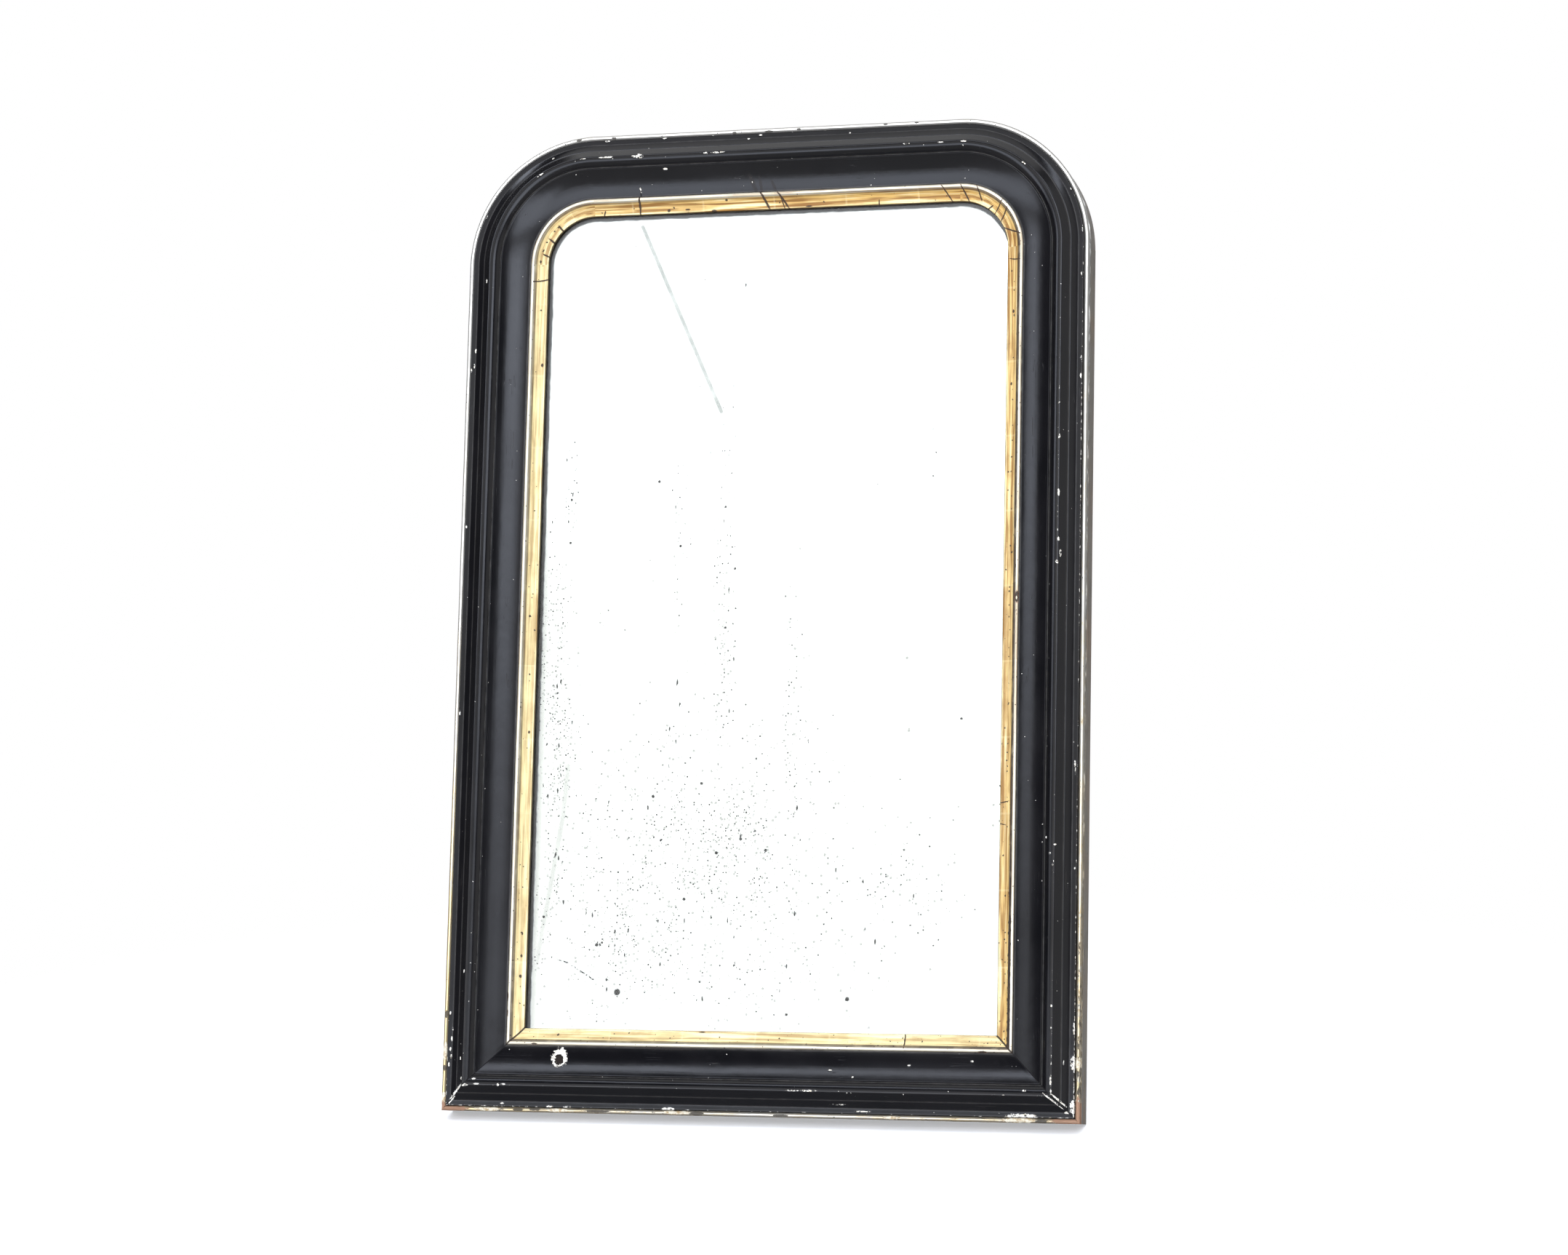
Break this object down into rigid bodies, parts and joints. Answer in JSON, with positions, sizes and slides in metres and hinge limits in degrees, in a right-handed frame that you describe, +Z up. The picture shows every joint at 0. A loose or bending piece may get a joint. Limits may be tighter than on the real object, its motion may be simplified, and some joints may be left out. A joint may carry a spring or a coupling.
{
  "type": "wall mirror",
  "caption": "Arched wall mirror: black moulded frame with rounded upper corners and square lower ones, a gilt slip, a pale leafed edge bead and a silvered plate.",
  "frame": {"origin": "middle of the lower edge of the back face, on the plane of the wall", "axes": "+Z up along the stiles, +Y back into the wall, +X to the right seen from the front"},
  "size_m": [0.7, 0.0591, 1.078],
  "materials": {
    "ebonised_wood": "ebonised, satin polish",
    "gold_leaf": "aged gold leaf, burnished",
    "pale_leaf": "worn silver leaf",
    "softwood": "old raw softwood",
    "backboard_wood": "old raw boards",
    "hardwood": "raw hardwood",
    "plate_glass": "polished",
    "silvering": "old silvering with dark specks",
    "wrought_iron": "oxidised",
    "hanger_steel": "tarnished"
  },
  "bodies": {
    "frame": {"carcass_top_rail": "softwood", "carcass_bottom_rail": "softwood", "carcass_left_stile": "softwood", "carcass_right_stile": "softwood", "carcass_left_corner": "softwood", "carcass_right_corner": "softwood", "moulding_top_rail": "ebonised_wood", "moulding_bottom_rail": "ebonised_wood", "moulding_left_stile": "ebonised_wood", "moulding_right_stile": "ebonised_wood", "moulding_left_corner": "ebonised_wood", "moulding_right_corner": "ebonised_wood", "slip_top_rail": "gold_leaf", "slip_bottom_rail": "gold_leaf", "slip_left_stile": "gold_leaf", "slip_right_stile": "gold_leaf", "slip_left_corner": "gold_leaf", "slip_right_corner": "gold_leaf", "bead_top_rail": "pale_leaf", "bead_bottom_rail": "pale_leaf", "bead_left_stile": "pale_leaf", "bead_right_stile": "pale_leaf", "bead_left_corner": "pale_leaf", "bead_right_corner": "pale_leaf", "mirror_glass": "plate_glass", "mirror_silvering": "silvering", "glass_shims": "softwood", "glue_blocks_bottom": "softwood", "glue_blocks_left": "softwood", "glue_blocks_right": "softwood", "glue_blocks_top": "softwood", "backboard_left": "backboard_wood", "backboard_middle": "backboard_wood", "backboard_right": "backboard_wood", "backboard_nails": "wrought_iron", "dowels_left_stile": "hardwood", "dowels_left_top": "hardwood", "dowels_right_stile": "hardwood", "dowels_right_top": "hardwood", "mitre_key_left": "hardwood", "mitre_key_right": "hardwood", "hanger_strap_left": "hanger_steel", "hanger_strap_right": "hanger_steel", "hanger_screws_left": "hanger_steel", "hanger_screws_right": "hanger_steel"},
    "left_ring": {"hanger_ring_left": "hanger_steel"},
    "right_ring": {"hanger_ring_right": "hanger_steel"}
  },
  "joints": [
    {"name": "left_ring_hinge", "type": "hinge", "parent": "frame", "child": "left_ring", "pos_m": [-0.315, 0.00318, 0.776], "axis": [1, 0, 0], "range_deg": [0, 180]},
    {"name": "right_ring_hinge", "type": "hinge", "parent": "frame", "child": "right_ring", "pos_m": [0.315, 0.00318, 0.776], "axis": [1, 0, 0], "range_deg": [0, 180]}
  ]
}
